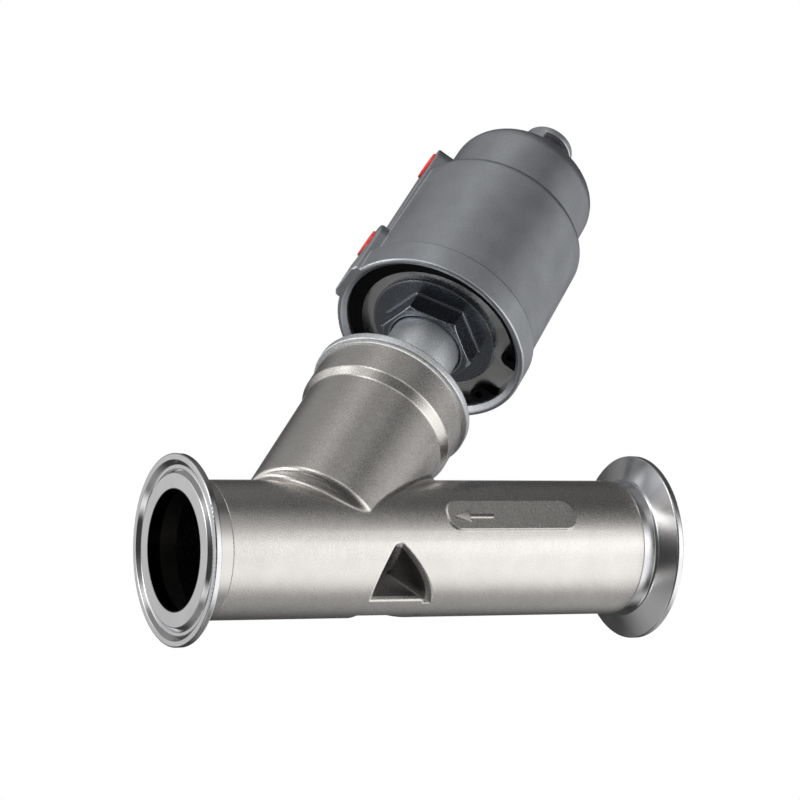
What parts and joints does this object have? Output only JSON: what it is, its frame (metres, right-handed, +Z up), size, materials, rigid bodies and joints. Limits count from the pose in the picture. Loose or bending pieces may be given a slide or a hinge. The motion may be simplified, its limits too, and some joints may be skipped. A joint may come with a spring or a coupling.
{
  "type": "angle seat valve",
  "caption": "Angle seat valve with clamp ferrule ends: cast body, leaning branch, bonnet with gland nut, and a spring-closed piston actuator with capped air ports",
  "frame": {"origin": "centre of the outlet ferrule's face, on the pipe's axis", "axes": "+X runs along the pipe from the outlet towards the inlet, +Z is up and is the longest extent, +Y points away from the marking pad and is the shortest extent; the valve axis leans in the XZ plane, 49 degrees from +X towards +Z"},
  "size_m": [0.1598, 0.0566, 0.1655],
  "materials": {
    "cast_body": "sand-blasted cast stainless",
    "polished_ferrule": "mirror polished",
    "turned_steel": "fine turned",
    "dark_nut": "dark satin",
    "polished_cover": "polished",
    "satin_housing": "smooth satin cast stainless",
    "black_ring": "black phosphated",
    "spring_steel": "plain spring steel",
    "piston_metal": "turned",
    "bush_bronze": "turned bronze",
    "red_cap": "smooth",
    "indicator_red": "smooth",
    "seal_white": "smooth",
    "seal_black": "smooth"
  },
  "bodies": {
    "valve": {"valve_body": "cast_body", "inlet_ferrule": "polished_ferrule", "outlet_ferrule": "polished_ferrule", "bonnet_gasket": "seal_white", "bonnet": "turned_steel", "packing_washer": "turned_steel", "disc_spring_1": "spring_steel", "disc_spring_2": "spring_steel", "packing_follower": "turned_steel", "packing_ring_1": "seal_white", "packing_ring_2": "seal_white", "packing_ring_3": "seal_white", "packing_ring_4": "seal_white", "guide_bush": "bush_bronze", "wiper": "seal_black", "gland_nut": "dark_nut", "neck_clip": "turned_steel"},
    "actuator": {"actuator_housing": "satin_housing", "end_cover": "polished_cover", "cover_seal": "seal_black", "retaining_ring": "black_ring", "indicator_housing": "satin_housing", "closing_spring": "spring_steel"},
    "stem": {"stem": "turned_steel", "piston": "piston_metal", "piston_seal": "seal_black", "piston_guide_ring": "seal_white", "piston_nut": "turned_steel", "indicator": "indicator_red"},
    "plug": {"plug": "turned_steel", "plug_pin_left": "turned_steel", "plug_pin_right": "turned_steel", "seat_seal": "seal_white", "seal_retainer": "turned_steel", "plug_nut": "turned_steel"},
    "lower_port_cap": {"lower_port_cap": "red_cap"},
    "upper_port_cap": {"upper_port_cap": "red_cap"}
  },
  "joints": [
    {"name": "actuator_swivel", "type": "hinge", "parent": "valve", "child": "actuator", "pos_m": [0.10211, 0, 0.07547], "axis": [0.6561, 0, 0.7547], "continuous": true},
    {"name": "stem_lift", "type": "slide", "parent": "valve", "child": "stem", "axis": [0.6561, 0, 0.7547], "range_m": [0, 0.013], "stiffness_N_per_m": 300, "springref_m": -0.01, "deforming": ["closing_spring"]},
    {"name": "plug_swivel", "type": "hinge", "parent": "stem", "child": "plug", "pos_m": [0.05356, 0, 0.01962], "axis": [0.6561, 0, 0.7547], "continuous": true},
    {"name": "lower_cap_pull", "type": "slide", "parent": "actuator", "child": "lower_port_cap", "axis": [-0.7547, 0, 0.6561], "range_m": [0, 0.0027]},
    {"name": "upper_cap_pull", "type": "slide", "parent": "actuator", "child": "upper_port_cap", "axis": [-0.7547, 0, 0.6561], "range_m": [0, 0.0027]}
  ]
}
